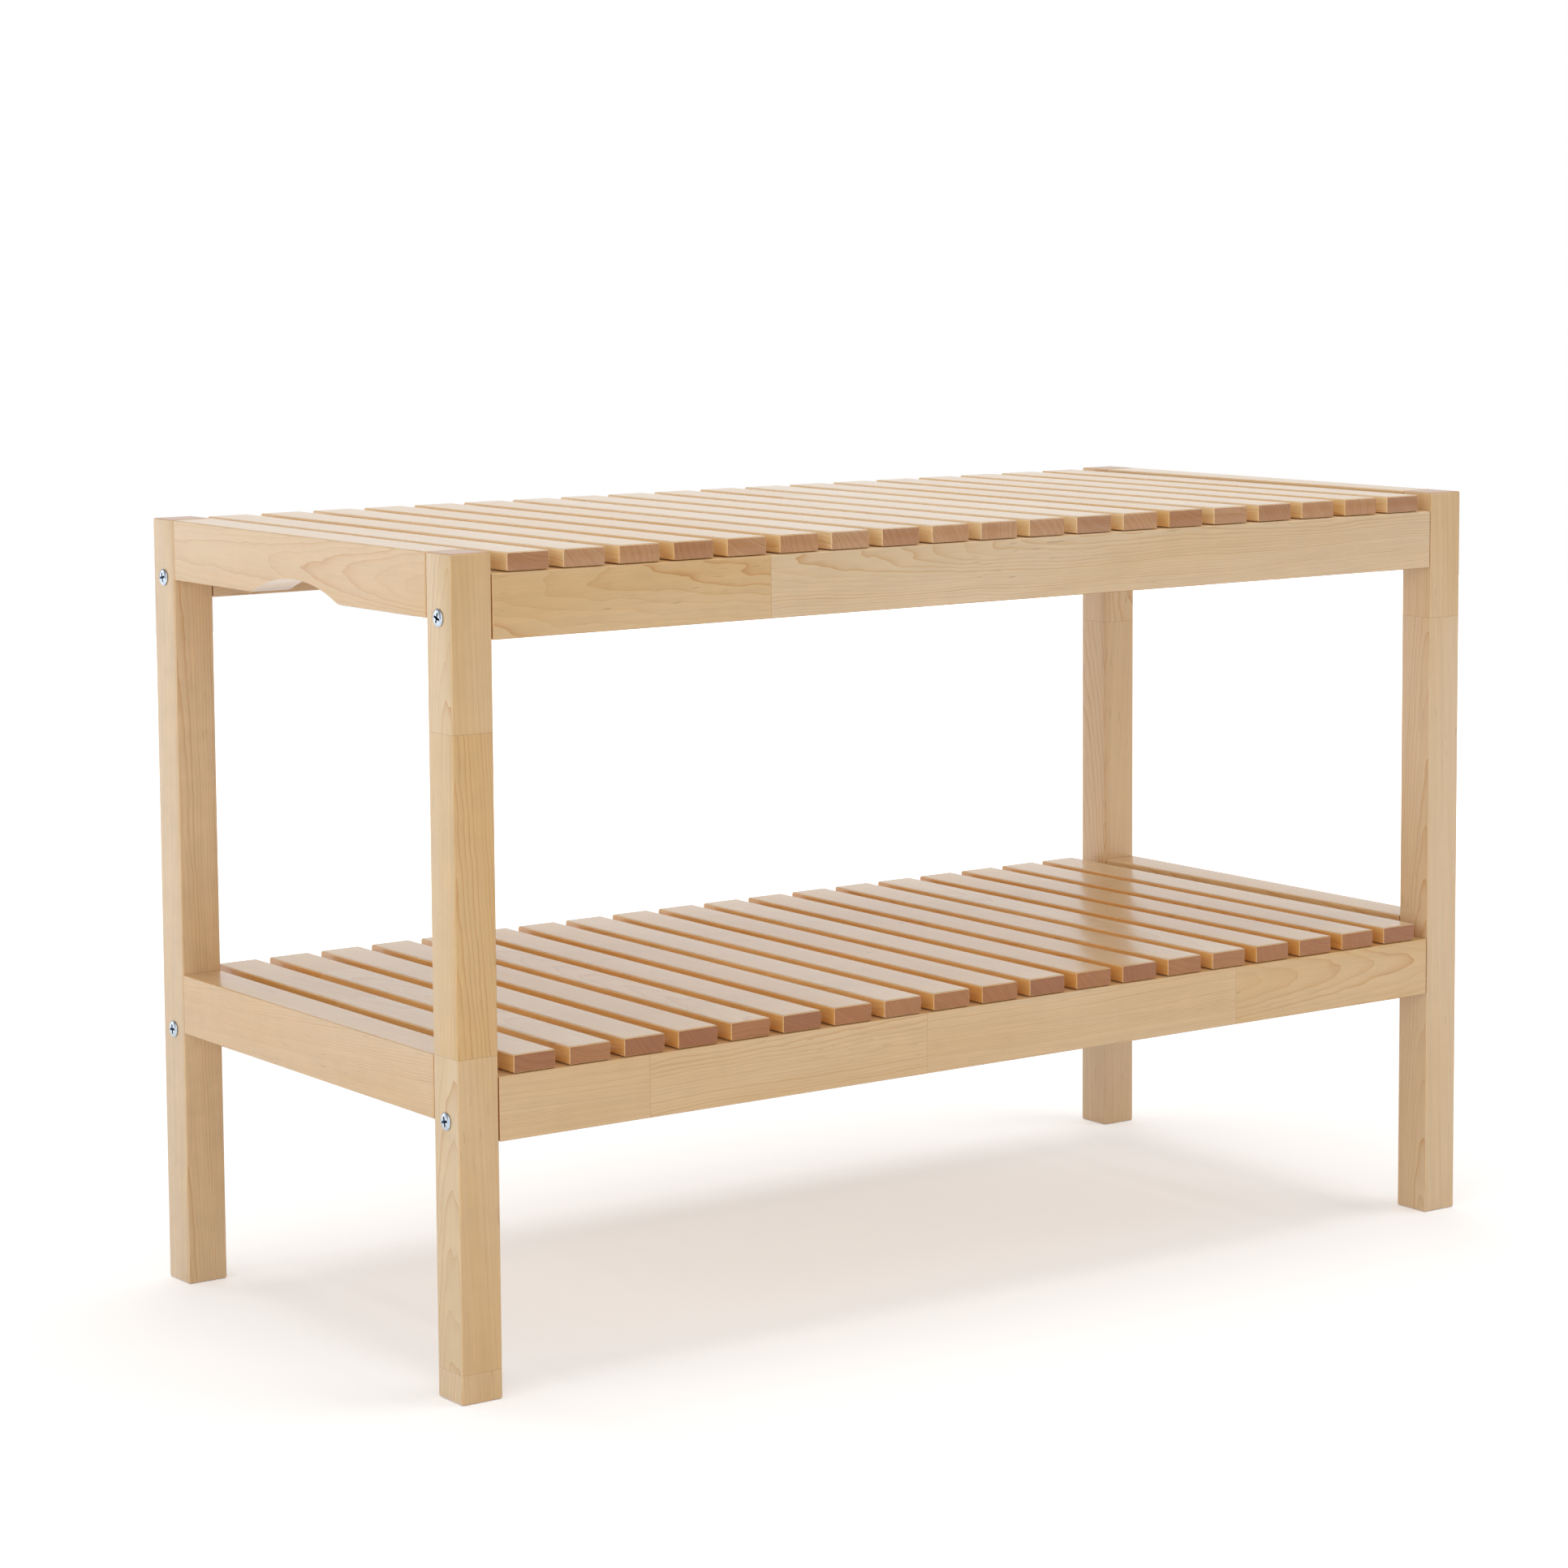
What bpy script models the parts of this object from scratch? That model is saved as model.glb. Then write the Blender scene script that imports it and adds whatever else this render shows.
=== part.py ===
"""Slatted entryway bench in clear-lacquered birch, modelled piece by piece.

Units are metres. +X runs along the bench, -Y is its front, +Z is up, and the origin is on the
floor under the middle of the bench. Two glued end frames (a front leg, a back leg and two end
rails) carry two slatted decks, the seat and the shoe shelf. Each deck is two long rails with
slats pegged and glued on top. Connector screws through the legs pull the decks to the frames.
"""
import math

import bmesh
import bpy
from mathutils import Matrix, Vector

# Driving dimensions
LENGTH = 0.800             # outside the legs, along X
DEPTH = 0.370              # outside the legs, along Y
HEIGHT = 0.497             # top of the legs
LEG_WIDTH = 0.0275         # square section of a leg, and the thickness of every rail
RAIL_HEIGHT = 0.0385
LOWER_TOP = 0.2035         # top of the lower end rails
SLAT_COUNT = 19            # on each deck
SLAT_WIDTH = 0.029
SLAT_PITCH = 0.03855
SLAT_THICKNESS = 0.0115
SLAT_DROP = 0.0008         # slat tops sit this much below the tops of the end rails
SLAT_SETBACK = 0.001       # slat ends stop short of the long rails' outer faces
EASED_EDGE = 0.0009        # chamfer on every long edge and end
JOINT_GAP = 0.0003         # between pieces that touch on the real bench

# Hand-hold in the lower edge of each upper end rail
ARCH_SPAN = 0.110
ARCH_RISE = 0.0117
ARCH_STEPS = 14

# Hidden joinery
PEG_RADIUS = 0.003         # two under each slat
PEG_LENGTH = 0.008
PEG_SIDES = 8
DOWEL_RADIUS = 0.004       # in the ends of the rails
DOWEL_LENGTH = 0.0105
DOWEL_SIDES = 10
DOWEL_ABOVE_SCREW = 0.017
END_DOWEL_DROPS = (0.009, 0.0295)   # below the top of an end rail
EMBED = 0.004              # how far pegs and dowels reach into the piece they are glued to
HOLE_EXTRA_DEPTH = 0.0006  # of blind holes, past the tip of what they hold

# Connector screws
SCREW_ABOVE_RAIL = 0.0135  # above the bottom of the long rail
SCREW_SIDES = 16
HEAD_RADIUS = 0.0053
HEAD_HEIGHT = 0.0011
SHANK_RADIUS = 0.0029
CORE_RADIUS = 0.0022
SCREW_LENGTH = 0.052
RECESS_LENGTH = 0.0052
RECESS_WIDTH = 0.0011
RECESS_DEPTH = 0.0022

BIRCH = {"color": (0.74, 0.57, 0.38, 1.0), "roughness": 0.42, "metallic": 0.0}
END_FRAME_BIRCH = {"color": (0.76, 0.61, 0.43, 1.0), "roughness": 0.42, "metallic": 0.0}
ZINC = {"color": (0.62, 0.66, 0.70, 1.0), "roughness": 0.30, "metallic": 1.0}

SIDES = {"left": -1, "right": 1}
FACES = {"front": -1, "back": 1}
LEVELS = {"upper": HEIGHT, "lower": LOWER_TOP}


def clear_scene():
    """Remove every object that the file opened with."""
    for item in list(bpy.data.objects):
        bpy.data.objects.remove(item, do_unlink=True)


def make_material(name, look):
    """Return a plain Principled material."""
    material = bpy.data.materials.new(name)
    material.use_nodes = True
    shader = material.node_tree.nodes["Principled BSDF"]
    shader.inputs["Base Color"].default_value = look["color"]
    shader.inputs["Roughness"].default_value = look["roughness"]
    shader.inputs["Metallic"].default_value = look["metallic"]
    material.diffuse_color = look["color"]
    return material


def add_object(name, mesh_builder, centre, material=None):
    """Turn a bmesh into a named object placed at centre."""
    mesh = bpy.data.meshes.new(name)
    bmesh.ops.recalc_face_normals(mesh_builder, faces=mesh_builder.faces)
    mesh_builder.to_mesh(mesh)
    mesh_builder.free()
    item = bpy.data.objects.new(name, mesh)
    item.location = centre
    if material:
        mesh.materials.append(material)
    bpy.context.scene.collection.objects.link(item)
    return item


def add_bar(name, centre, size, material):
    """Return a rectangular bar with all its edges eased."""
    builder = bmesh.new()
    bmesh.ops.create_cube(builder, size=1.0, matrix=Matrix.Diagonal((*size, 1.0)))
    bmesh.ops.bevel(
        builder, geom=builder.edges[:], offset=EASED_EDGE, offset_type="OFFSET",
        segments=1, affect="EDGES", profile=0.5)
    return add_object(name, builder, centre, material)


def add_rod(builder, start, end, radius, sides):
    """Add a closed round rod between two points to a bmesh."""
    axis = Vector(end) - Vector(start)
    turn = axis.to_track_quat("Z", "Y").to_matrix().to_4x4()
    middle = Matrix.Translation((Vector(start) + Vector(end)) / 2)
    bmesh.ops.create_cone(
        builder, cap_ends=True, segments=sides, radius1=radius, radius2=radius,
        depth=axis.length, matrix=middle @ turn)


def apply_tool(target, builder, operation):
    """Give target an exact Boolean with a tool built in world space."""
    tool = add_object("tool_" + operation.lower() + "_" + target.name, builder, (0, 0, 0))
    tool.hide_render = True
    tool.display_type = "WIRE"
    boolean = target.modifiers.new(operation.title(), "BOOLEAN")
    boolean.operation = operation
    boolean.solver = "EXACT"
    boolean.object = tool


def long_rail_top(level):
    """Return the height of the top of a level's long rails."""
    return LEVELS[level] - SLAT_DROP - SLAT_THICKNESS


def screw_height(level):
    """Return the height of a level's connector screws."""
    return long_rail_top(level) - RAIL_HEIGHT + SCREW_ABOVE_RAIL


def leg_centre(side, face):
    """Return the plan position of a leg's centre line."""
    x = SIDES[side] * (LENGTH - LEG_WIDTH) / 2
    y = FACES[face] * (DEPTH - LEG_WIDTH) / 2
    return x, y


def slat_centre_x(number):
    """Return where slat 1 to SLAT_COUNT lies along the bench."""
    return (number - (SLAT_COUNT + 1) / 2) * SLAT_PITCH


def add_leg(side, face, material):
    """Make one leg, bored for its screws, its deck dowels and its end rail dowels."""
    x, y = leg_centre(side, face)
    leg = add_bar(
        "leg_" + face + "_" + side, (x, y, HEIGHT / 2), (LEG_WIDTH, LEG_WIDTH, HEIGHT), material)
    inner_x = x - SIDES[side] * LEG_WIDTH / 2
    inner_y = y - FACES[face] * LEG_WIDTH / 2
    depth = DOWEL_LENGTH + HOLE_EXTRA_DEPTH
    hole_radius = DOWEL_RADIUS + JOINT_GAP
    holes = bmesh.new()
    for level, top in LEVELS.items():
        screw_z = screw_height(level)
        through = LEG_WIDTH
        add_rod(holes, (x - through, y, screw_z), (x + through, y, screw_z),
                SHANK_RADIUS + JOINT_GAP, DOWEL_SIDES)
        dowel_z = screw_z + DOWEL_ABOVE_SCREW
        add_rod(holes, (inner_x + SIDES[side] * depth, y, dowel_z),
                (inner_x - SIDES[side] * depth, y, dowel_z), hole_radius, DOWEL_SIDES)
        for drop in END_DOWEL_DROPS:
            add_rod(holes, (x, inner_y + FACES[face] * depth, top - drop),
                    (x, inner_y - FACES[face] * depth, top - drop), hole_radius, DOWEL_SIDES)
    apply_tool(leg, holes, "DIFFERENCE")


def add_long_rail(level, face, material):
    """Make one long rail, with a locating dowel at each end and a row of blind peg holes."""
    y = leg_centre("left", face)[1]
    top = long_rail_top(level)
    size = (LENGTH - 2 * (LEG_WIDTH + JOINT_GAP), LEG_WIDTH, RAIL_HEIGHT)
    rail = add_bar(level + "_rail_" + face, (0, y, top - RAIL_HEIGHT / 2), size, material)
    dowel_z = screw_height(level) + DOWEL_ABOVE_SCREW
    dowels = bmesh.new()
    holes = bmesh.new()
    for side in SIDES.values():
        end_x = side * size[0] / 2
        add_rod(dowels, (end_x - side * EMBED, y, dowel_z),
                (end_x + side * DOWEL_LENGTH, y, dowel_z), DOWEL_RADIUS, DOWEL_SIDES)
        pilot = SCREW_LENGTH - LEG_WIDTH + HOLE_EXTRA_DEPTH
        add_rod(holes, (end_x + side * EMBED, y, screw_height(level)),
                (end_x - side * pilot, y, screw_height(level)),
                SHANK_RADIUS + JOINT_GAP, DOWEL_SIDES)
    for number in range(1, SLAT_COUNT + 1):
        x = slat_centre_x(number)
        add_rod(holes, (x, y, top + EMBED), (x, y, top - PEG_LENGTH - HOLE_EXTRA_DEPTH),
                PEG_RADIUS + JOINT_GAP, PEG_SIDES)
    apply_tool(rail, dowels, "UNION")
    apply_tool(rail, holes, "DIFFERENCE")


def arch_outline():
    """Return the (y, z) outline of the hand-hold, z measured from the rail's lower edge."""
    half = ARCH_SPAN / 2
    radius = (half ** 2 + ARCH_RISE ** 2) / (2 * ARCH_RISE)
    half_angle = math.asin(half / radius)
    outline = [(half, -RAIL_HEIGHT), (-half, -RAIL_HEIGHT)]
    for step in range(ARCH_STEPS + 1):
        angle = half_angle * (2 * step / ARCH_STEPS - 1)
        outline.append((radius * math.sin(angle), radius * math.cos(angle) - radius + ARCH_RISE))
    return outline


def add_end_rail(level, side, material):
    """Make one end rail with two dowels at each end, arched underneath on the upper level."""
    x = leg_centre(side, "front")[0]
    top = LEVELS[level]
    size = (LEG_WIDTH, DEPTH - 2 * (LEG_WIDTH + JOINT_GAP), RAIL_HEIGHT)
    rail = add_bar(level + "_end_rail_" + side, (x, 0, top - RAIL_HEIGHT / 2), size, material)
    dowels = bmesh.new()
    for face in FACES.values():
        end_y = face * size[1] / 2
        for drop in END_DOWEL_DROPS:
            add_rod(dowels, (x, end_y - face * EMBED, top - drop),
                    (x, end_y + face * DOWEL_LENGTH, top - drop), DOWEL_RADIUS, DOWEL_SIDES)
    apply_tool(rail, dowels, "UNION")
    if level == "upper":
        arch = bmesh.new()
        bottom = top - RAIL_HEIGHT
        rim = [arch.verts.new((x - LEG_WIDTH, y, bottom + z)) for y, z in arch_outline()]
        cap = arch.faces.new(rim)
        swept = bmesh.ops.extrude_face_region(arch, geom=[cap])["geom"]
        moved = [part for part in swept if isinstance(part, bmesh.types.BMVert)]
        bmesh.ops.translate(arch, verts=moved, vec=(2 * LEG_WIDTH, 0, 0))
        apply_tool(rail, arch, "DIFFERENCE")


def add_slat(level, number, material):
    """Make one slat with a glued peg over each long rail."""
    x = slat_centre_x(number)
    bottom = long_rail_top(level) + JOINT_GAP
    thickness = SLAT_THICKNESS - JOINT_GAP
    size = (SLAT_WIDTH, DEPTH - 2 * SLAT_SETBACK, thickness)
    name = level + "_slat_" + str(number).zfill(2)
    slat = add_bar(name, (x, 0, bottom + thickness / 2), size, material)
    pegs = bmesh.new()
    for face in FACES:
        y = leg_centre("left", face)[1]
        add_rod(pegs, (x, y, bottom + EMBED), (x, y, bottom - PEG_LENGTH), PEG_RADIUS, PEG_SIDES)
    apply_tool(slat, pegs, "UNION")


def screw_builder():
    """Turn a connector screw about X, its head's underside at 0 and its shank towards +X."""
    half_head = HEAD_HEIGHT / 2
    profile = (
        (-HEAD_HEIGHT, 0.0), (-HEAD_HEIGHT, HEAD_RADIUS - half_head), (-half_head, HEAD_RADIUS),
        (0.0, HEAD_RADIUS), (0.0, SHANK_RADIUS), (LEG_WIDTH, SHANK_RADIUS),
        (LEG_WIDTH + SHANK_RADIUS, CORE_RADIUS), (SCREW_LENGTH - CORE_RADIUS, CORE_RADIUS),
        (SCREW_LENGTH, 0.0))
    builder = bmesh.new()
    points = [builder.verts.new((x, radius, 0.0)) for x, radius in profile]
    edges = [builder.edges.new(pair) for pair in zip(points, points[1:])]
    bmesh.ops.spin(
        builder, geom=points + edges, cent=(0, 0, 0), axis=(1, 0, 0), angle=2 * math.pi,
        steps=SCREW_SIDES, use_merge=True)
    bmesh.ops.remove_doubles(builder, verts=builder.verts[:], dist=1e-6)
    return builder


def add_screw(level, side, face, material):
    """Make one cross-recessed connector screw in a leg's outer end face."""
    y = leg_centre(side, face)[1]
    outward = SIDES[side]
    seat_x = outward * (LENGTH / 2 + JOINT_GAP)
    centre = Vector((seat_x, y, screw_height(level)))
    builder = screw_builder()
    if outward > 0:
        bmesh.ops.rotate(builder, verts=builder.verts[:], matrix=Matrix.Rotation(math.pi, 3, "Z"))
    screw = add_object("_".join(("screw", level, face, side)), builder, centre, material)
    head_x = seat_x + outward * HEAD_HEIGHT
    for blade in ((RECESS_WIDTH, RECESS_LENGTH), (RECESS_LENGTH, RECESS_WIDTH)):
        place = Matrix.Translation((head_x, y, centre.z))
        builder = bmesh.new()
        bmesh.ops.create_cube(
            builder, size=1.0, matrix=place @ Matrix.Diagonal((2 * RECESS_DEPTH, *blade, 1.0)))
        apply_tool(screw, builder, "DIFFERENCE")


def build_bench():
    """Make every piece of the bench."""
    clear_scene()
    birch = make_material("birch", BIRCH)
    frame_birch = make_material("end_frame_birch", END_FRAME_BIRCH)
    zinc = make_material("zinc", ZINC)
    for side in SIDES:
        for face in FACES:
            add_leg(side, face, frame_birch)
    for level in LEVELS:
        for face in FACES:
            add_long_rail(level, face, birch)
        for side in SIDES:
            add_end_rail(level, side, frame_birch)
            for face in FACES:
                add_screw(level, side, face, zinc)
        for number in range(1, SLAT_COUNT + 1):
            add_slat(level, number, birch)


build_bench()
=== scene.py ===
"""Looks of the slatted entryway bench: clear-lacquered birch and zinc-plated screws.

Units are metres, in the frame of the CAD model: +X runs along the bench, -Y is its front and +Z
is up. The wood keeps its CAD solids, whose shapes are right, and gets one material for each
board. The eight connector screws are replaced by detailed ones.
"""
import math
import random

import bmesh
import bpy
from mathutils import Matrix, Vector


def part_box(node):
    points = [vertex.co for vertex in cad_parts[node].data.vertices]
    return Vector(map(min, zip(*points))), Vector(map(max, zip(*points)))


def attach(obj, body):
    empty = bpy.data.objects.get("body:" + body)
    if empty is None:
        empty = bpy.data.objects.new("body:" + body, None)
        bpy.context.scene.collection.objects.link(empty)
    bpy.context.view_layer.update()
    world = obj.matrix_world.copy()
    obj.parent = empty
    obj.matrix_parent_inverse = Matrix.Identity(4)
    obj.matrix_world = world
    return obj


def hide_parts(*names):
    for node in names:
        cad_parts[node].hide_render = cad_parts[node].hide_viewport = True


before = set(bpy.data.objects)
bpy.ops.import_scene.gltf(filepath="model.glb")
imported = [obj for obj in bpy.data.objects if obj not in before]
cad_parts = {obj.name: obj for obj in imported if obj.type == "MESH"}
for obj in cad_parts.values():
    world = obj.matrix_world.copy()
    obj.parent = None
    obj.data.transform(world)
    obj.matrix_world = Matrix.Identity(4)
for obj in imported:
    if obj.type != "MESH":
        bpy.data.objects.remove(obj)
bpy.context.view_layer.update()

MM = 0.001

# Camera
CAMERA_PLACE = (-1.60034, -2.19652, 0.6909)
CAMERA_YAW = -35.4757      # degrees, from +Y towards -X
CAMERA_PITCH = -5.7896
CAMERA_ROLL = -0.4014
FOCAL_LENGTH = 94.486      # mm, on a sensor 36 mm wide
SENSOR_WIDTH = 36.0
SHIFT_Y = -0.10

# Studio
WORLD_LIGHT = 0.28         # strength of the white surroundings as a light
FLOOR_SIZE = 7.8
FLOOR_DROP = 0.0002        # keeps the floor clear of the feet
FLOOR_COLOUR = (0.86, 0.86, 0.86, 1.0)
FLOOR_ROUGHNESS = 0.9
FLOOR_GLOW = (0.36, 0.85)  # near the bench and far from it, seen only directly or mirrored
FLOOR_GLOW_REACH = (0.5, 2.2)
SOFTBOXES = {              # place, what it faces, width, height and watts
    "key": ((-2.6, -3.8, 1.5), (0.0, 0.0, 0.3), 3.2, 2.6, 44.0),
    "backdrop": ((2.6, 4.2, 1.6), (2.6, 0.0, 1.6), 5.0, 3.2, 36.0),
    "left_back": ((-2.3, 3.95, 0.9), (-0.4, 0.0, 0.3), 2.0, 1.8, 20.0),
    "left": ((-4.0, -0.8, 1.5), (0.0, 0.0, 0.3), 3.4, 2.6, 42.0),
    "top": ((0.3, 0.4, 4.2), (0.3, 0.4, 0.0), 3.0, 3.0, 80.0),
    "right": ((3.6, -3.0, 2.2), (0.0, 0.0, 0.3), 3.6, 3.4, 54.0),
}

# Birch, as it looks under clear lacquer
PALE = (0.770, 0.580, 0.370, 1.0)
WARM = (0.690, 0.425, 0.165, 1.0)
PLAIN = (1.0, 1.0, 1.0, 1.0)
FLECK = (0.45, 0.26, 0.12, 1.0)          # pores and knots
PORE_SHARE = 0.60                        # how much of that colour they take
KNOT_SHARE = 0.80
TONE_REACH = 0.45                        # how far a tone of 1 goes from the middle towards WARM
TONE_DRIFT = 0.85                        # how far the tone drifts over one board
LIGHT_SHARES = {"fibre": 0.16, "streak": 0.16, "wave": 0.24}

# Colours that multiply the wood's own
RING_LINE = (0.80, 0.58, 0.34, 1.0)      # the late wood of a ring
END_GRAIN = {"upper": (0.72, 0.55, 0.45, 1.0), "lower": (0.57, 0.325, 0.15, 1.0)}
DARK_END = (0.86, 0.78, 0.72, 1.0)       # again, for the slats whose ends drank more lacquer
DARK_ENDS = {"upper": (1, 4, 8, 12, 14, 16, 19), "lower": (1, 3, 4, 6, 11, 13, 19)}
# painted light and shade on the slats' sides in the gaps: the upper ones lighter, the lower ones
# darker and a deeper orange
SLAT_SIDE_PAINTED_LIGHT = {"upper": (1.15, 1.15, 1.06, 1.0), "lower": (1.06, 0.84, 0.50, 1.0)}
LEG_SIDE_PAINTED_SHEEN = {                             # painted sheen: the left and right sides of the two left legs made paler and bluer
    "leg_front_left": (1.03, 1.13, 1.30, 1.0), "leg_back_left": (0.98, 1.01, 1.06, 1.0)}
JOINT_LINE = (0.60, 0.48, 0.36, 1.0)
EDGE_WEAR_AND_HIGHLIGHT = (1.10, 1.10, 1.12, 1.0)      # rounded edges, sanded and lacquered thin, and lighter as a painted highlight

# Growth rings
RING_WIDTH = 1.2 * MM
RING_WANDER = 3.5 * MM                   # how far the rings stray from true circles
RING_RIPPLE = 1.2 * MM                   # how wide they wave over a centimetre or two
GROWTH_DRIFT = 5.0                       # how many rings the growth runs ahead or behind by
RING_STRENGTH = (0.12, 0.85)             # of the faintest and the strongest late wood
RING_SHARPNESS = (5.0, 2.0)              # power of the late wood's rise, on faces and on ends
SEASON_SHARE = 0.12                      # how much the wood darkens evenly towards the late wood
END_RINGS = 1.6                          # how much stronger rings show on ends
HEART_NEAREST = 0.030                    # from a board to the heart of its log
HEART_FARTHEST = 0.110
BOARD_TILT = 0.045                       # how far a board leans from its log's axis, radians

# Features per metre of each noise: across the grain both ways, and along it
NOISES = {
    "stray": (18.0, 18.0, 3.6),
    "ripple": (110.0, 110.0, 42.0),
    "growth": (8.0, 8.0, 0.5),
    "drift": (26.0, 26.0, 5.0),
    "fibre": (1500.0, 1500.0, 34.0),
    "streak": (330.0, 330.0, 9.0),
    "wave": (60.0, 60.0, 70.0),
    "pore": (620.0, 620.0, 62.0),
    "pore_group": (30.0, 30.0, 9.0),
    "worn": (140.0, 140.0, 140.0),
}
PORES_FROM = (0.67, 0.76)                # where the noises are high enough to show pores
PORE_GROUPS_FROM = (0.50, 0.66)

# Gloss and relief
WOOD_ROUGHNESS = 0.29
ROUGHER = {"streak": 0.14, "end": 0.16, "edge": 0.08}
RELIEF = {"fibre": 0.55, "ring": -0.35, "wave": 1.2}   # pores and joints count as -1
RELIEF_STRENGTH = 0.35
RELIEF_HEIGHT = 0.12 * MM
WOOD_IOR = 1.5
LACQUER_WEIGHT = 0.6
LACQUER_ROUGHNESS = 0.18

# Edges, joints and faces
EDGE_WIDTH = 1.3 * MM
EDGE_RAGGED = 0.8 * MM                   # how unevenly the sanding has reached inwards
JOINT_LINE_WIDTH = 0.22 * MM
JOINT_LINE_SHARE = 0.75
AXIS_FACE = (0.75, 0.95)                 # share of a normal along an axis where a face is across it
BIG_FACE = 20.0 * MM * MM                # faces of pegs and dowels are smaller
CREASE_ANGLE = math.radians(60)          # an eased edge turns 45 degrees twice
WELD_REACH = 0.01 * MM

# What differs from board to board
TONES = (-0.7, 0.7)
CUTS = (0.0, 90.0)
USUAL_WANDER = (0.5, 1.3)                # how far its rings stray, over RING_WANDER
FIGURES = (0.1, 0.9)                     # strength of the wavy figure
LOG_LENGTH = 50.0                        # so long that boards hardly ever share a stretch of it
FIRST_BLOCK = (0.25, 1.0)                # length of a member's blocks over the longest there is
OTHER_BLOCKS = (0.5, 1.0)
LAST_BLOCK_SHORTEST = 0.03

# The axis of the frame that the grain follows, and the longest block, for names that hold a word
GRAINS = {"leg": (2, 0.30), "end": (1, 0.60), "rail": (0, 0.42), "slat": (1, 0.50)}

# Butt joints between the blocks that a long member is glued up from, along its grain
BLOCK_JOINTS = {
    "upper_rail_front": (-0.176,),
    "lower_rail_front": (-0.267, -0.059, 0.198),
    "leg_front_left": (0.018, 0.204, 0.393),
    "leg_front_right": (0.412,),
    "leg_back_left": (),
    "upper_end_rail_left": (),
    "lower_end_rail_left": (),
}
# Tone of each block, from -1, pale, to 1, warm
BLOCK_TONES = {
    "upper_rail_front": (0.35, -0.75),
    "lower_rail_front": (0.15, 0.20, 0.10, 0.65),
    "leg_front_left": (0.35, 0.40, 0.95, 0.40),
    "leg_front_right": (-0.55, -0.15),
    "leg_back_left": (-0.15,),
    "upper_end_rail_left": (0.25,),
    "lower_end_rail_left": (0.10,),
}
# How each block is cut, in degrees: 0 shows broad flames on the front, 90 straight lines
BLOCK_CUTS = {
    "upper_rail_front": (14.0, 42.0),
    "lower_rail_front": (75.0, 30.0, 60.0, 15.0),
    "leg_front_left": (70.0, 85.0, 20.0, 80.0),
    "leg_front_right": (75.0, 60.0),
}

# How far the rings of these stray, over RING_WANDER
WANDER = {"upper_rail_front": 1.6, "lower_rail_front": 1.2, "leg_front_left": 0.5}

# Small knots in the tops of slats: place along X and Y, and radius
KNOTS = {
    "lower_slat_12": ((0.0860, 0.032, 3.2 * MM),),
    "lower_slat_10": ((0.0005, -0.044, 1.3 * MM),),
    "lower_slat_04": ((-0.2240, 0.071, 1.6 * MM),),
    "upper_slat_07": ((-0.1130, 0.118, 2.0 * MM),),
    "upper_slat_15": ((0.1990, 0.020, 1.6 * MM),),
}
KNOT_STRETCH = 2.0                       # a knot is this much longer than wide
KNOT_EDGE = (0.8, 1.5)                   # where its colour starts and stops fading, in radii

# Connector screws
SCREW_AROUND = 48
HEAD_RADIUS = 5.3 * MM
HEAD_HEIGHT = 1.1 * MM
SHANK_RADIUS = 2.9 * MM
CORE_RADIUS = 2.2 * MM
SHANK_LENGTH = 27.5 * MM                 # plain part, inside the leg
THREAD_PITCH = 1.8 * MM
THREAD_ROWS = 6                          # rows of points in one pitch
TIP_LENGTH = 3.0 * MM
TIP_ROUNDING = 0.4 * MM                  # the tip narrows to its blunt end over this length
TIP_RADIUS = 0.35 * CORE_RADIUS
RECESS_LENGTH = 6.2 * MM
RECESS_WIDTH = 1.9 * MM
RECESS_DEPTH = 2.1 * MM
RECESS_TAPER = 0.55                      # size at the bottom over size at the top
HEAD_DOME = (                            # drop over the head's height, and share of its radius
    (0.00, 0.55), (0.03, 0.62), (0.10, 0.72), (0.24, 0.84), (0.45, 0.95), (0.70, 1.0),
    (0.93, 0.99), (1.00, 0.95))
SCREW_TURN = 0.35                        # how far a screw is turned either way, radians
SCREW_SEED = 5
ZINC = ((0.46, 0.53, 0.62, 1.0), (0.62, 0.68, 0.75, 1.0))
RECESS_PAINTED_SHADE = ((0.02, 0.04, 0.08, 1.0), (0.06, 0.09, 0.14, 1.0))   # painted shade: near-black zinc in the cross recess
ZINC_CLOUDS = 420.0                      # per metre
ZINC_GRIT = 3000.0
ZINC_BRIGHT_FROM = (0.35, 0.7)           # where the noise of the clouds turns bright
ZINC_ROUGHNESS = (0.20, 0.38)            # of the smoothest and the grittiest spots
ZINC_RELIEF_STRENGTH = 0.2
ZINC_RELIEF_HEIGHT = 0.03 * MM
SCREW_CREASE = math.radians(35)


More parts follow.
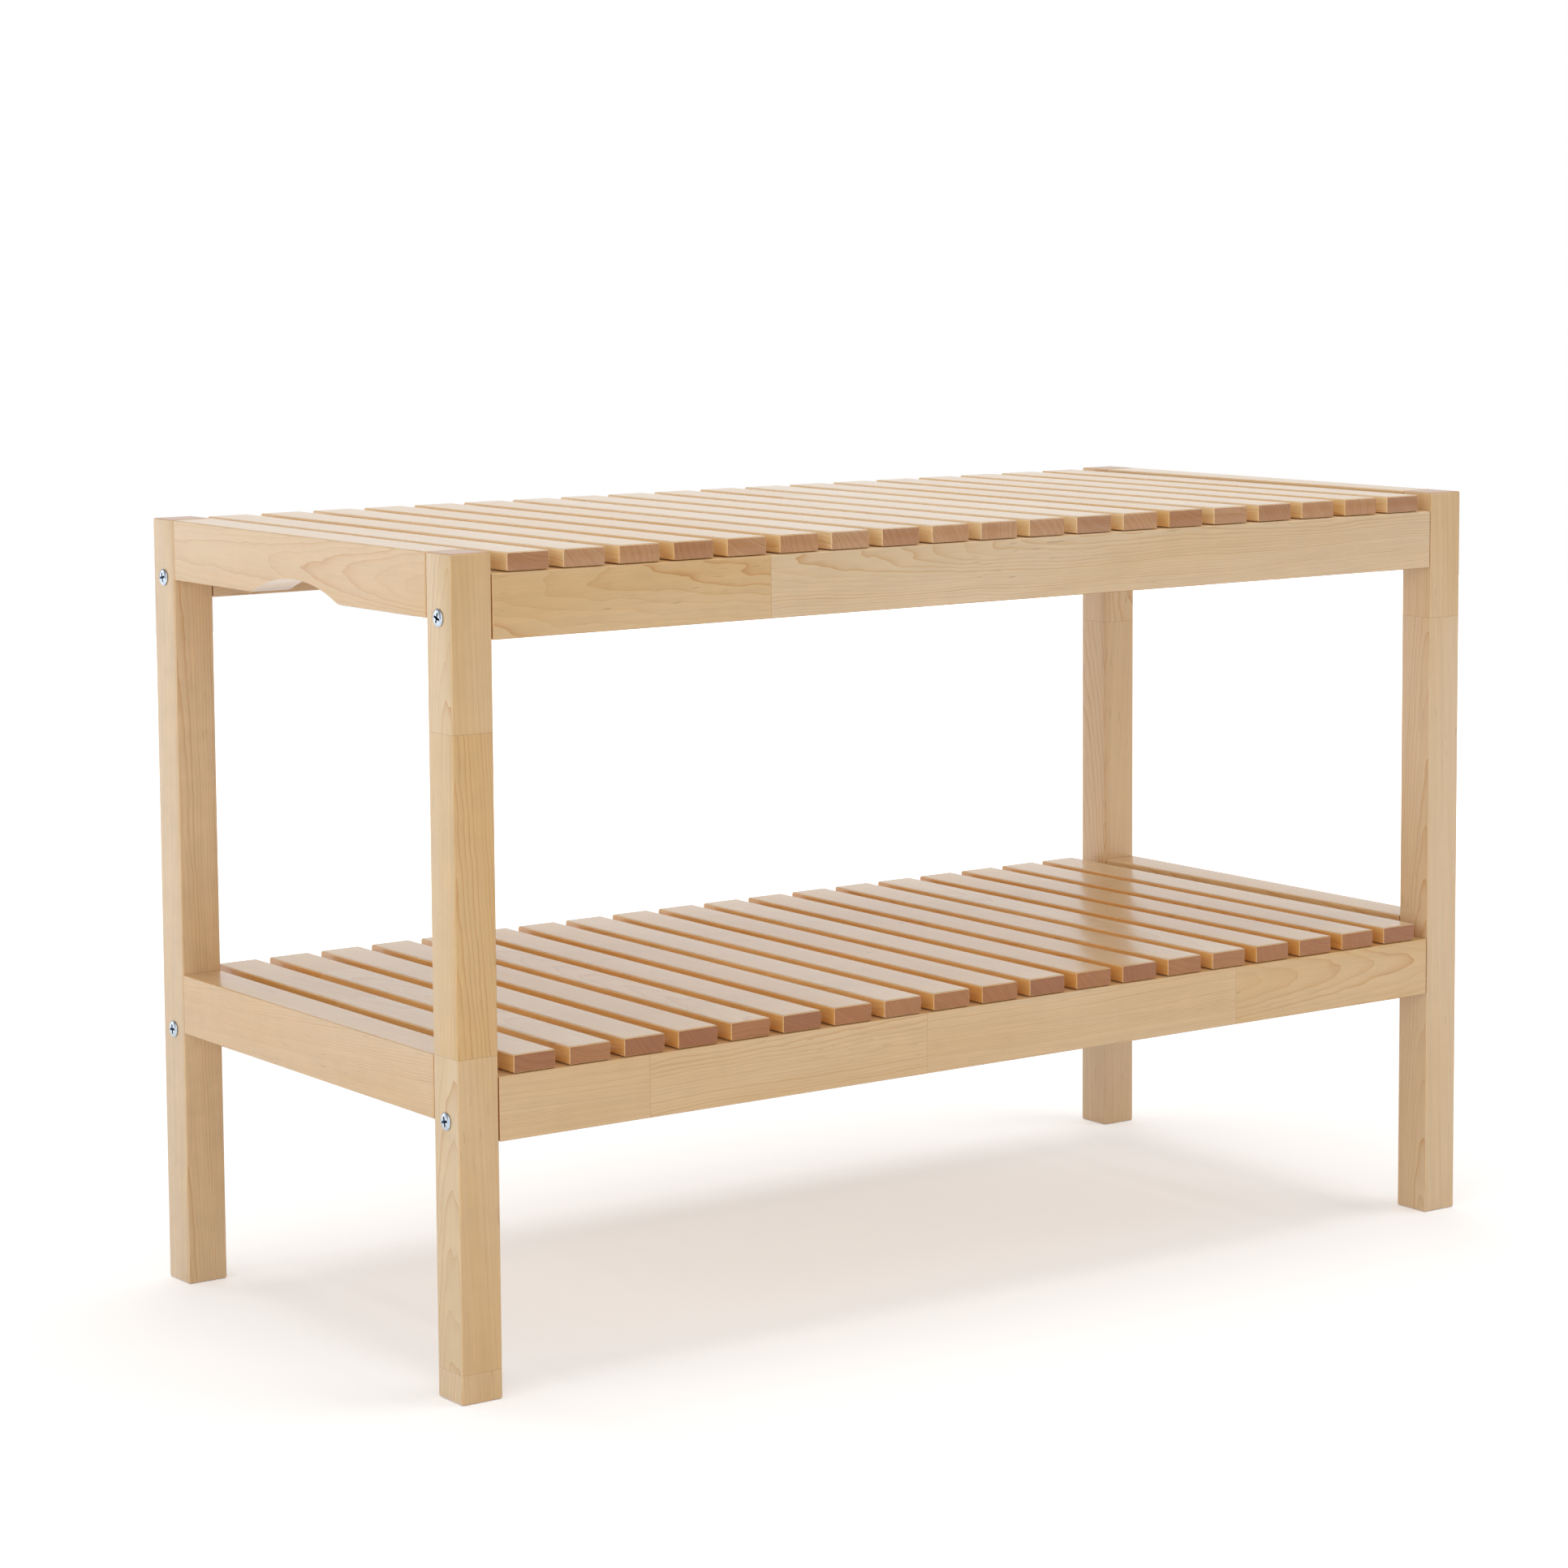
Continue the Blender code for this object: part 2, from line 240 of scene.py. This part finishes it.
class Graph:
    """Adds nodes to a node tree and links them, with a plain value or a socket for any input."""

    def __init__(self, tree):
        self.tree = tree

    def add(self, kind, inputs=None, **settings):
        """Add one node."""
        node = self.tree.nodes.new(kind)
        for name, value in settings.items():
            setattr(node, name, value)
        for key, value in (inputs or {}).items():
            self.feed(node.inputs[key], value)
        return node

    def feed(self, socket, value):
        """Link a socket to an input, or give it a value."""
        if isinstance(value, bpy.types.NodeSocket):
            self.tree.links.new(value, socket)
        else:
            socket.default_value = value

    def math(self, operation, *values):
        """Return the result of one sum."""
        node = self.add("ShaderNodeMath", operation=operation)
        for socket, value in zip(node.inputs, values):
            self.feed(socket, value)
        return node.outputs[0]

    def vector(self, operation, first, second=None):
        """Return the result of one sum on a vector, or on two."""
        node = self.add("ShaderNodeVectorMath", {0: first}, operation=operation)
        if second is not None:
            self.feed(node.inputs["Scale" if operation == "SCALE" else 1], second)
        return node.outputs["Value" if operation == "LENGTH" else "Vector"]

    def split(self, vector):
        """Return the X, Y and Z of a vector."""
        return self.add("ShaderNodeSeparateXYZ", {0: vector}).outputs

    def join(self, x, y, z):
        """Return a vector."""
        return self.add("ShaderNodeCombineXYZ", {0: x, 1: y, 2: z}).outputs[0]

    def noise(self, vector, per_metre, detail=2.0, roughness=0.5):
        """Return smooth noise with a count of features per metre along each axis."""
        scaled = self.vector("MULTIPLY", vector, per_metre)
        return self.add("ShaderNodeTexNoise", {
            "Vector": scaled, "Scale": 1.0, "Detail": detail, "Roughness": roughness}).outputs

    def ease(self, value, low, high, start=0.0, end=1.0):
        """Return start below low, end above high and a smooth step between."""
        return self.add("ShaderNodeMapRange", {
            "Value": value, "From Min": low, "From Max": high, "To Min": start,
            "To Max": end}, interpolation_type="SMOOTHSTEP").outputs[0]

    def mix(self, factor, first, second, blend_type="MIX"):
        """Return a mix of two colours."""
        node = self.add("ShaderNodeMix", data_type="RGBA", blend_type=blend_type)
        for index, value in ((0, factor), (6, first), (7, second)):
            self.feed(node.inputs[index], value)
        return node.outputs[2]


def add_sockets(tree, direction, sockets):
    """Give a node group its inputs or outputs."""
    for name, kind in sockets:
        tree.interface.new_socket(name, in_out=direction, socket_type="NodeSocket" + kind)


def add_rings(graph, given):
    """Return the board's coordinates bent as its rings are, the late wood and the rings' dark."""
    board = given["Board"]
    stray = graph.noise(board, NOISES["stray"], detail=2.0)["Color"]
    stray = graph.vector("SUBTRACT", stray, (0.5, 0.5, 0.5))
    stray = graph.vector("MULTIPLY", stray, (2 * RING_WANDER, 2 * RING_WANDER, 0.0))
    stray = graph.vector("SCALE", stray, given["Wander"])
    ripple = graph.noise(board, NOISES["ripple"], detail=1.0)["Color"]
    ripple = graph.vector("SUBTRACT", ripple, (0.5, 0.5, 0.5))
    ripple = graph.vector("MULTIPLY", ripple, (RING_RIPPLE, RING_RIPPLE, 0.0))
    bent = graph.vector("ADD", graph.vector("ADD", board, stray), ripple)

    flat = graph.vector("MULTIPLY", bent, (1.0, 1.0, 0.0))
    radius = graph.vector("LENGTH", flat)
    growth = graph.noise(board, NOISES["growth"])["Fac"]
    growth = graph.math("MULTIPLY", growth, GROWTH_DRIFT)
    age = graph.math("ADD", graph.math("DIVIDE", radius, RING_WIDTH), growth)
    season = graph.math("FRACT", age)
    year = graph.math("FLOOR", age)
    mark = graph.add("ShaderNodeTexWhiteNoise", {"W": year}, noise_dimensions="1D")
    strength = graph.ease(mark.outputs["Value"], 0.0, 1.0, *RING_STRENGTH)
    on_face, on_end = RING_SHARPNESS
    sharp = graph.math("MULTIPLY_ADD", given["End"], on_end - on_face, on_face)
    late = graph.math("MULTIPLY", graph.math("POWER", season, sharp), strength)

    dark = graph.math("MULTIPLY_ADD", season, SEASON_SHARE, late)
    stronger = graph.math("MULTIPLY_ADD", given["End"], END_RINGS - 1.0, 1.0)
    return bent, late, graph.math("MULTIPLY", dark, stronger)


def add_tone(graph, given):
    """Return the board's own colour, which drifts over centimetres."""
    drift = graph.noise(given["Board"], NOISES["drift"], detail=3.0)["Fac"]
    drift = graph.math("SUBTRACT", drift, 0.5)
    tone = graph.math("MULTIPLY_ADD", given["Tone"], TONE_REACH, 0.5)
    tone = graph.math("MULTIPLY_ADD", drift, TONE_DRIFT, tone)
    tone = graph.add("ShaderNodeClamp", {0: tone}).outputs[0]
    return graph.mix(tone, PALE, WARM)


def add_grain(graph, given, bent):
    """Return the patterns along the grain: fibres, streaks, the wavy figure across and pores."""
    board = given["Board"]
    fibre = graph.noise(board, NOISES["fibre"], detail=3.0, roughness=0.6)["Fac"]
    streak = graph.noise(board, NOISES["streak"], detail=2.0)["Fac"]
    wave = graph.noise(bent, NOISES["wave"], detail=2.0)["Fac"]
    wave = graph.math("MULTIPLY", graph.math("SUBTRACT", wave, 0.5), given["Figure"])
    pore = graph.noise(board, NOISES["pore"], detail=1.0)["Fac"]
    group = graph.noise(board, NOISES["pore_group"], detail=1.0)["Fac"]
    group = graph.ease(group, *PORE_GROUPS_FROM)
    pore = graph.math("MULTIPLY", graph.ease(pore, *PORES_FROM), group)
    return fibre, streak, wave, pore


def make_birch_group():
    """Return the node group that all the boards share: birch cut from a round log.

    Board holds coordinates in metres, with Z along the grain and the log's heart at X = Y = 0.
    """
    tree = bpy.data.node_groups.new("birch", "ShaderNodeTree")
    add_sockets(tree, "INPUT", (
        ("Board", "Vector"), ("Wander", "Float"), ("Tone", "Float"), ("Figure", "Float"),
        ("End", "Float"), ("Tint", "Color"), ("Edge", "Float"), ("Joint", "Float"),
        ("Knot", "Float")))
    add_sockets(tree, "OUTPUT", (("Color", "Color"), ("Roughness", "Float"), ("Height", "Float")))
    graph = Graph(tree)
    given = graph.add("NodeGroupInput").outputs
    bent, late, ring = add_rings(graph, given)
    fibre, streak, wave, pore = add_grain(graph, given, bent)

    colour = add_tone(graph, given)
    colour = graph.mix(ring, colour, graph.mix(1.0, colour, RING_LINE, "MULTIPLY"))
    light = 1.0
    for name, pattern in (("fibre", fibre), ("streak", streak)):
        pattern = graph.math("SUBTRACT", pattern, 0.5)
        light = graph.math("MULTIPLY_ADD", pattern, LIGHT_SHARES[name], light)
    light = graph.math("MULTIPLY_ADD", wave, LIGHT_SHARES["wave"], light)
    colour = graph.vector("SCALE", colour, light)
    colour = graph.mix(graph.math("MULTIPLY", pore, PORE_SHARE), colour, FLECK)
    colour = graph.mix(graph.math("MULTIPLY", given["Knot"], KNOT_SHARE), colour, FLECK)

    # Tints of ends, painted light and shade on the sides, then glue joints, and rounded edges
    # lighter as wear and as a painted highlight
    colour = graph.mix(1.0, colour, given["Tint"], "MULTIPLY")
    colour = graph.mix(given["Joint"], colour, graph.mix(1.0, colour, JOINT_LINE, "MULTIPLY"))
    colour = graph.mix(given["Edge"], colour, graph.mix(1.0, colour, EDGE_WEAR_AND_HIGHLIGHT, "MULTIPLY"))

    # Streaks, ends and edges are rougher; late wood, pores and joints lie a little deeper
    roughness = WOOD_ROUGHNESS
    for name, pattern in (("streak", streak), ("end", given["End"]), ("edge", given["Edge"])):
        roughness = graph.math("MULTIPLY_ADD", pattern, ROUGHER[name], roughness)
    height = 0.0
    for name, pattern in (("ring", late), ("fibre", fibre), ("wave", wave)):
        height = graph.math("MULTIPLY_ADD", pattern, RELIEF[name], height)
    height = graph.math("SUBTRACT", height, pore)
    height = graph.math("SUBTRACT", height, given["Joint"])
    result = graph.add("NodeGroupOutput")
    for name, value in (("Color", colour), ("Roughness", roughness), ("Height", height)):
        graph.feed(result.inputs[name], value)
    return tree


def bar_box(node):
    """Return the corners of a piece without its pegs or dowels, from its big faces."""
    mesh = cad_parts[node].data
    corners = [
        mesh.vertices[index].co for face in mesh.polygons if face.area > BIG_FACE
        for index in face.vertices]
    low = Vector([min(point[axis] for point in corners) for axis in range(3)])
    high = Vector([max(point[axis] for point in corners) for axis in range(3)])
    return low, high


def random_joints(draw, low, high, longest):
    """Return butt joints that cut a member into blocks no longer than longest."""
    joints = []
    place = low + draw.uniform(*FIRST_BLOCK) * longest
    while place < high - LAST_BLOCK_SHORTEST:
        joints.append(place)
        place += draw.uniform(*OTHER_BLOCKS) * longest
    return tuple(joints)


def board_plan(node, grain, longest, draw):
    """Return a member's block joints, and each block's tone, cut and heart offset."""
    low, high = bar_box(node)
    joints = random_joints(draw, low[grain], high[grain], longest)
    joints = BLOCK_JOINTS.get(node, joints)
    count = len(joints) + 1
    tones = [draw.uniform(*TONES) for _ in range(count)]
    cuts = [draw.uniform(*CUTS) for _ in range(count)]
    tones = BLOCK_TONES.get(node, tones)
    cuts = BLOCK_CUTS.get(node, cuts)
    hearts = []
    for cut in cuts:
        away = draw.choice((-1, 1)) * draw.uniform(HEART_NEAREST, HEART_FARTHEST)
        level = away * math.sin(math.radians(cut))
        behind = away * math.cos(math.radians(cut))
        heart = (behind, level) if grain == 0 else (level, behind)
        hearts.append((*heart, draw.uniform(0.0, LOG_LENGTH)))
    return joints, tones, hearts


def end_tints_and_painted_side_light(node):
    """Return what a board's ends multiply its colour by, and what its two long sides do: painted
    light and shade on slat sides, painted sheen on the left legs' sides.
    """
    level = "lower" if node.startswith("lower") else "upper"
    if "slat" not in node:
        return END_GRAIN[level], LEG_SIDE_PAINTED_SHEEN.get(node, PLAIN)
    end = END_GRAIN[level]
    if int(node[-2:]) in DARK_ENDS[level]:
        end = tuple(first * second for first, second in zip(end, DARK_END))
    return end, SLAT_SIDE_PAINTED_LIGHT[level]


def lean_board(graph, place, grain, middle, draw):
    """Return coordinates across, across and along the grain, leaning from the log's axis."""
    local = graph.split(graph.vector("SUBTRACT", place, middle))
    across = [local[axis] for axis in range(3) if axis != grain]
    lean = graph.add("ShaderNodeVectorRotate", {
        "Vector": graph.join(across[0], across[1], local[grain]),
        "Rotation": [draw.uniform(-BOARD_TILT, BOARD_TILT) for _ in range(2)] + [0.0]},
        rotation_type="EULER_XYZ")
    return lean.outputs[0]


def place_blocks(graph, along, leaning, joints, tones, hearts):
    """Return the tone, the place in a log and the joint lines of a member's blocks."""
    tone = tones[0]
    board = graph.vector("ADD", leaning, hearts[0])
    line = 0.0
    for number, joint in enumerate(joints):
        past = graph.math("GREATER_THAN", along, joint)
        tone = graph.math("MULTIPLY_ADD", past, tones[number + 1] - tones[number], tone)
        change = Vector(hearts[number + 1]) - Vector(hearts[number])
        board = graph.vector("ADD", board, graph.vector("SCALE", change, past))
        gap = graph.math("ABSOLUTE", graph.math("SUBTRACT", along, joint))
        here = graph.ease(gap, 0.0, JOINT_LINE_WIDTH, JOINT_LINE_SHARE, 0.0)
        line = graph.math("MAXIMUM", line, here)
    return tone, board, line


def edge_wear_and_highlight(graph, parts, worn, low, high):
    """Return 1 at the edges of a bar and 0 inside: the middle one of its face distances tells."""
    depths = []
    for axis in range(3):
        above = graph.math("SUBTRACT", parts[axis], low[axis])
        below = graph.math("SUBTRACT", high[axis], parts[axis])
        depths.append(graph.math("MINIMUM", above, below))
    nearer = graph.math("MINIMUM", depths[0], depths[1])
    farther = graph.math("MAXIMUM", depths[0], depths[1])
    from_edge = graph.math("MAXIMUM", nearer, graph.math("MINIMUM", farther, depths[2]))
    from_edge = graph.math("MULTIPLY_ADD", worn, -EDGE_RAGGED, from_edge)
    return graph.ease(from_edge, 0.0, EDGE_WIDTH - EDGE_RAGGED / 2, 1.0, 0.0)


def mark_knots(graph, node, place, worn, top):
    """Return 1 in the knots of a slat's top and 0 outside them."""
    knot = 0.0
    for x, y, radius in KNOTS.get(node, ()):
        away = graph.vector("SUBTRACT", place, (x, y, top))
        away = graph.vector("MULTIPLY", away, (1.0, 1.0 / KNOT_STRETCH, 1.0))
        away = graph.vector("LENGTH", away)
        away = graph.math("MULTIPLY_ADD", worn, radius, away)
        fading = [share * radius for share in KNOT_EDGE]
        knot = graph.math("MAXIMUM", knot, graph.ease(away, *fading, 1.0, 0.0))
    return knot


def make_birch(node, grain, longest, seed):
    """Return the material of one board, its grain along axis 0, 1 or 2 of the frame."""
    draw = random.Random(seed)
    joints, tones, hearts = board_plan(node, grain, longest, draw)
    low, high = bar_box(node)
    material = bpy.data.materials.new("birch_" + node)
    material.use_nodes = True
    graph = Graph(material.node_tree)
    coordinates = graph.add("ShaderNodeTexCoord").outputs
    place = coordinates["Object"]
    parts = graph.split(place)
    leaning = lean_board(graph, place, grain, (low + high) / 2, draw)
    tone, board, line = place_blocks(graph, parts[grain], leaning, joints, tones, hearts)

    facing = graph.split(graph.vector("ABSOLUTE", coordinates["Normal"]))
    end = graph.ease(facing[grain], *AXIS_FACE)
    # ends take the end grain tint; long sides take painted light and shade on slats and painted
    # sheen on the left legs
    end_tint, painted_side_light = end_tints_and_painted_side_light(node)
    end_tint_and_painted_side_light = graph.mix(graph.ease(facing[0], *AXIS_FACE), PLAIN, painted_side_light)
    end_tint_and_painted_side_light = graph.mix(end, end_tint_and_painted_side_light, end_tint)
    worn = graph.noise(place, NOISES["worn"], detail=2.0)["Fac"]

    wood = graph.add("ShaderNodeGroup", node_tree=birch_group)
    values = {
        "Board": board,
        "Wander": WANDER.get(node, draw.uniform(*USUAL_WANDER)),
        "Tone": tone,
        "Figure": draw.uniform(*FIGURES),
        "End": end,
        "Tint": end_tint_and_painted_side_light,
        "Edge": edge_wear_and_highlight(graph, parts, worn, low, high),
        "Joint": line,
        "Knot": mark_knots(graph, node, place, worn, high.z),
    }
    for name, value in values.items():
        graph.feed(wood.inputs[name], value)
    bump = graph.add("ShaderNodeBump", {
        "Strength": RELIEF_STRENGTH, "Distance": RELIEF_HEIGHT,
        "Height": wood.outputs["Height"]})
    shader = material.node_tree.nodes["Principled BSDF"]
    shader.inputs["IOR"].default_value = WOOD_IOR
    shader.inputs["Coat Weight"].default_value = LACQUER_WEIGHT
    shader.inputs["Coat Roughness"].default_value = LACQUER_ROUGHNESS
    graph.feed(shader.inputs["Base Color"], wood.outputs["Color"])
    graph.feed(shader.inputs["Roughness"], wood.outputs["Roughness"])
    graph.feed(shader.inputs["Normal"], bump.outputs["Normal"])
    return material


def make_crease_group():
    """Return geometry nodes that keep every edge sharp that turns more than an eased edge does."""
    tree = bpy.data.node_groups.new("creases", "GeometryNodeTree")
    for direction in ("INPUT", "OUTPUT"):
        add_sockets(tree, direction, (("Geometry", "Geometry"),))
    graph = Graph(tree)
    turn = graph.add("GeometryNodeInputMeshEdgeAngle").outputs["Unsigned Angle"]
    crease = graph.add("FunctionNodeCompare", {0: turn, 1: CREASE_ANGLE}, operation="GREATER_THAN")
    shaded = graph.add("GeometryNodeSetShadeSmooth", {
        "Geometry": graph.add("NodeGroupInput").outputs[0], "Selection": crease.outputs[0],
        "Shade Smooth": False}, domain="EDGE")
    graph.feed(graph.add("NodeGroupOutput").inputs[0], shaded.outputs[0])
    return tree


def smooth_edges(item):
    """Round the look of a bar's eased edges: big faces stay flat, and chamfers turn smoothly."""
    item.data.shade_smooth()
    weld = item.modifiers.new("Weld", "WELD")
    weld.merge_threshold = WELD_REACH
    item.modifiers.new("Creases", "NODES").node_group = crease_group
    normals = item.modifiers.new("Weighted Normal", "WEIGHTED_NORMAL")
    normals.keep_sharp = True


def finish_wood():
    """Give every wooden piece its own board of birch."""
    wooden = [name for name in sorted(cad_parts) if not name.startswith("screw")]
    for seed, name in enumerate(wooden):
        kind = next(key for key in GRAINS if key in name)
        grain, longest = GRAINS[kind]
        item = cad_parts[name]
        item.data.materials.clear()
        item.data.materials.append(make_birch(name, grain, longest, seed))
        smooth_edges(item)


def make_zinc(name, dull, bright):
    """Return cloudy zinc plating between two colours."""
    material = bpy.data.materials.new(name)
    material.use_nodes = True
    graph = Graph(material.node_tree)
    place = graph.add("ShaderNodeTexCoord").outputs["Object"]
    cloud = graph.noise(place, (ZINC_CLOUDS,) * 3, detail=3.0)["Fac"]
    grit = graph.noise(place, (ZINC_GRIT,) * 3, detail=2.0)["Fac"]
    colour = graph.mix(graph.ease(cloud, *ZINC_BRIGHT_FROM), dull, bright)
    smooth, gritty = ZINC_ROUGHNESS
    roughness = graph.math("MULTIPLY_ADD", grit, gritty - smooth, smooth)
    bump = graph.add("ShaderNodeBump", {
        "Strength": ZINC_RELIEF_STRENGTH, "Distance": ZINC_RELIEF_HEIGHT, "Height": grit})
    shader = material.node_tree.nodes["Principled BSDF"]
    shader.inputs["Metallic"].default_value = 1.0
    graph.feed(shader.inputs["Base Color"], colour)
    graph.feed(shader.inputs["Roughness"], roughness)
    graph.feed(shader.inputs["Normal"], bump.outputs["Normal"])
    return material


def screw_rings(length):
    """Return the screw's outline as (z, radius, thread depth), from the head's top to its tip."""
    rings = [(-drop * HEAD_HEIGHT, share * HEAD_RADIUS, 0.0) for drop, share in HEAD_DOME]
    under = -HEAD_HEIGHT
    rings.append((under, SHANK_RADIUS, 0.0))
    rings.append((under - SHANK_LENGTH, SHANK_RADIUS, 0.0))
    thread_start = SHANK_LENGTH + THREAD_PITCH / 2
    thread_length = length - HEAD_HEIGHT - TIP_LENGTH - thread_start
    count = int(thread_length / THREAD_PITCH * THREAD_ROWS)
    for row in range(count + 1):
        depth = (SHANK_RADIUS - CORE_RADIUS) * min(1.0, (count - row) / (2 * THREAD_ROWS))
        rings.append((under - thread_start - row * thread_length / count, CORE_RADIUS, depth))
    rings.append((-length + TIP_ROUNDING, TIP_RADIUS, 0.0))
    return rings


def make_screw_body(length):
    """Return a mesh of the screw standing on Z, the top of its head at zero, without its recess."""
    builder = bmesh.new()
    rows = []
    for z, radius, depth in screw_rings(length):
        row = []
        for step in range(SCREW_AROUND):
            share = step / SCREW_AROUND
            crest = abs(2 * ((z / THREAD_PITCH + share) % 1.0) - 1)
            reach = radius + depth * crest
            angle = 2 * math.pi * share
            row.append(builder.verts.new((reach * math.cos(angle), reach * math.sin(angle), z)))
        rows.append(row)
    for upper, lower in zip(rows, rows[1:]):
        for step in range(SCREW_AROUND):
            after = (step + 1) % SCREW_AROUND
            builder.faces.new((upper[step], lower[step], lower[after], upper[after]))
    builder.faces.new(rows[0])
    tip = builder.verts.new((0.0, 0.0, -length))
    for step in range(SCREW_AROUND):
        builder.faces.new((rows[-1][step], tip, rows[-1][(step + 1) % SCREW_AROUND]))
    bmesh.ops.recalc_face_normals(builder, faces=builder.faces)
    mesh = bpy.data.meshes.new("connector_screw")
    builder.to_mesh(mesh)
    builder.free()
    return mesh


def make_blade(across, along):
    """Return a mesh of one blade of the driver that forms the cross recess, tapered downwards."""
    builder = bmesh.new()
    bmesh.ops.create_cube(builder, size=1.0)
    for corner in builder.verts:
        share = 1.0 if corner.co.z > 0 else RECESS_TAPER
        corner.co.x *= across * share
        corner.co.y *= along * share
        corner.co.z = RECESS_DEPTH if corner.co.z > 0 else -RECESS_DEPTH
    mesh = bpy.data.meshes.new("driver_blade")
    builder.to_mesh(mesh)
    builder.free()
    return mesh


def make_screw_mesh(length):
    """Return the finished screw mesh, with a cross recess sunk in its head."""
    body = bpy.data.objects.new("screw_blank", make_screw_body(length))
    body.data.materials.append(make_zinc("zinc_plating", *ZINC))
    # the recess walls get near-black zinc: painted shade
    recess = make_zinc("zinc_recess_painted_shade", *RECESS_PAINTED_SHADE)
    bpy.context.scene.collection.objects.link(body)
    blades = []
    top_length = RECESS_LENGTH * 2 / (1 + RECESS_TAPER)
    for across, along in ((RECESS_WIDTH, top_length), (top_length, RECESS_WIDTH)):
        blade = bpy.data.objects.new("blade", make_blade(across, along))
        blade.data.materials.append(recess)
        bpy.context.scene.collection.objects.link(blade)
        cut = body.modifiers.new("Recess", "BOOLEAN")
        cut.operation = "DIFFERENCE"
        cut.material_mode = "TRANSFER"
        cut.object = blade
        blades.append(blade)
    bpy.context.view_layer.update()
    evaluated = body.evaluated_get(bpy.context.evaluated_depsgraph_get())
    mesh = bpy.data.meshes.new_from_object(evaluated)
    mesh.name = "connector_screw"
    mesh.shade_smooth()
    mesh.set_sharp_from_angle(angle=SCREW_CREASE)
    for item in blades + [body]:
        bpy.data.objects.remove(item)
    return mesh


def fit_screws():
    """Put a detailed screw in place of each plain CAD one."""
    names = [name for name in sorted(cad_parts) if name.startswith("screw")]
    low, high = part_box(names[0])
    mesh = make_screw_mesh(high.x - low.x)
    draw = random.Random(SCREW_SEED)
    for name in names:
        low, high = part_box(name)
        middle = (low + high) / 2
        outward = 1 if middle.x > 0 else -1
        top = high.x if outward > 0 else low.x
        screw = bpy.data.objects.new("connector_" + name, mesh)
        bpy.context.scene.collection.objects.link(screw)
        lay_down = Matrix.Rotation(outward * math.pi / 2, 4, "Y")
        spin = Matrix.Rotation(draw.uniform(-SCREW_TURN, SCREW_TURN), 4, "Z")
        screw.matrix_world = Matrix.Translation((top, middle.y, middle.z)) @ lay_down @ spin
        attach(screw, "root")
        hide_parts(name)


def make_floor():
    """Lay a plain pale floor."""
    builder = bmesh.new()
    bmesh.ops.create_grid(builder, x_segments=2, y_segments=2, size=FLOOR_SIZE / 2)
    mesh = bpy.data.meshes.new("floor")
    builder.to_mesh(mesh)
    builder.free()
    floor = bpy.data.objects.new("floor", mesh)
    floor.location.z = -FLOOR_DROP
    bpy.context.scene.collection.objects.link(floor)
    material = bpy.data.materials.new("floor_white")
    material.use_nodes = True
    shader = material.node_tree.nodes["Principled BSDF"]
    shader.inputs["Base Color"].default_value = FLOOR_COLOUR
    shader.inputs["Roughness"].default_value = FLOOR_ROUGHNESS
    shader.inputs["Emission Color"].default_value = (1.0, 1.0, 1.0, 1.0)
    graph = Graph(material.node_tree)
    place = graph.add("ShaderNodeTexCoord").outputs["Object"]
    away = graph.vector("LENGTH", place)
    glow = graph.ease(away, *FLOOR_GLOW_REACH, *FLOOR_GLOW)
    path = graph.add("ShaderNodeLightPath").outputs
    seen = graph.math("MAXIMUM", path["Is Camera Ray"], path["Is Glossy Ray"])
    graph.feed(shader.inputs["Emission Strength"], graph.math("MULTIPLY", seen, glow))
    mesh.materials.append(material)


def make_world():
    """Surround the studio with white, as bright as paper to the camera."""
    world = bpy.data.worlds.new("studio")
    world.use_nodes = True
    bpy.context.scene.world = world
    graph = Graph(world.node_tree)
    seen = graph.add("ShaderNodeLightPath").outputs["Is Camera Ray"]
    strength = graph.math("MULTIPLY_ADD", seen, 1.0 - WORLD_LIGHT, WORLD_LIGHT)
    background = world.node_tree.nodes["Background"]
    background.inputs["Color"].default_value = (1.0, 1.0, 1.0, 1.0)
    graph.feed(background.inputs["Strength"], strength)


def add_softbox(name, place, target, width, height, watts):
    """Hang one large white light, out of the camera's sight."""
    light = bpy.data.lights.new(name, "AREA")
    light.shape = "RECTANGLE"
    light.size = width
    light.size_y = height
    light.energy = watts
    item = bpy.data.objects.new(name, light)
    item.location = place
    aim = Vector(target) - Vector(place)
    item.rotation_euler = aim.to_track_quat("-Z", "Y").to_euler()
    item.visible_camera = False
    bpy.context.scene.collection.objects.link(item)


def make_camera():
    """Stand the camera at the front left, a little above the seat."""
    yaw = math.radians(CAMERA_YAW)
    pitch = math.radians(CAMERA_PITCH)
    roll = math.radians(CAMERA_ROLL)
    ahead = Vector((
        -math.sin(yaw) * math.cos(pitch), math.cos(yaw) * math.cos(pitch), math.sin(pitch)))
    level = Vector((math.cos(yaw), math.sin(yaw), 0.0))
    above = level.cross(ahead)
    right = level * math.cos(roll) + above * math.sin(roll)
    up = above * math.cos(roll) - level * math.sin(roll)
    turn = Matrix((right, up, -ahead)).transposed().to_4x4()
    camera = bpy.data.cameras.new("camera")
    camera.sensor_width = SENSOR_WIDTH
    camera.lens = FOCAL_LENGTH
    camera.shift_y = SHIFT_Y
    item = bpy.data.objects.new("camera", camera)
    item.matrix_world = Matrix.Translation(CAMERA_PLACE) @ turn
    bpy.context.scene.collection.objects.link(item)
    bpy.context.scene.camera = item


birch_group = make_birch_group()
crease_group = make_crease_group()
finish_wood()
fit_screws()
make_floor()
make_world()
for name, setting in SOFTBOXES.items():
    add_softbox(name, *setting)
make_camera()
bpy.context.scene.view_settings.view_transform = "Standard"
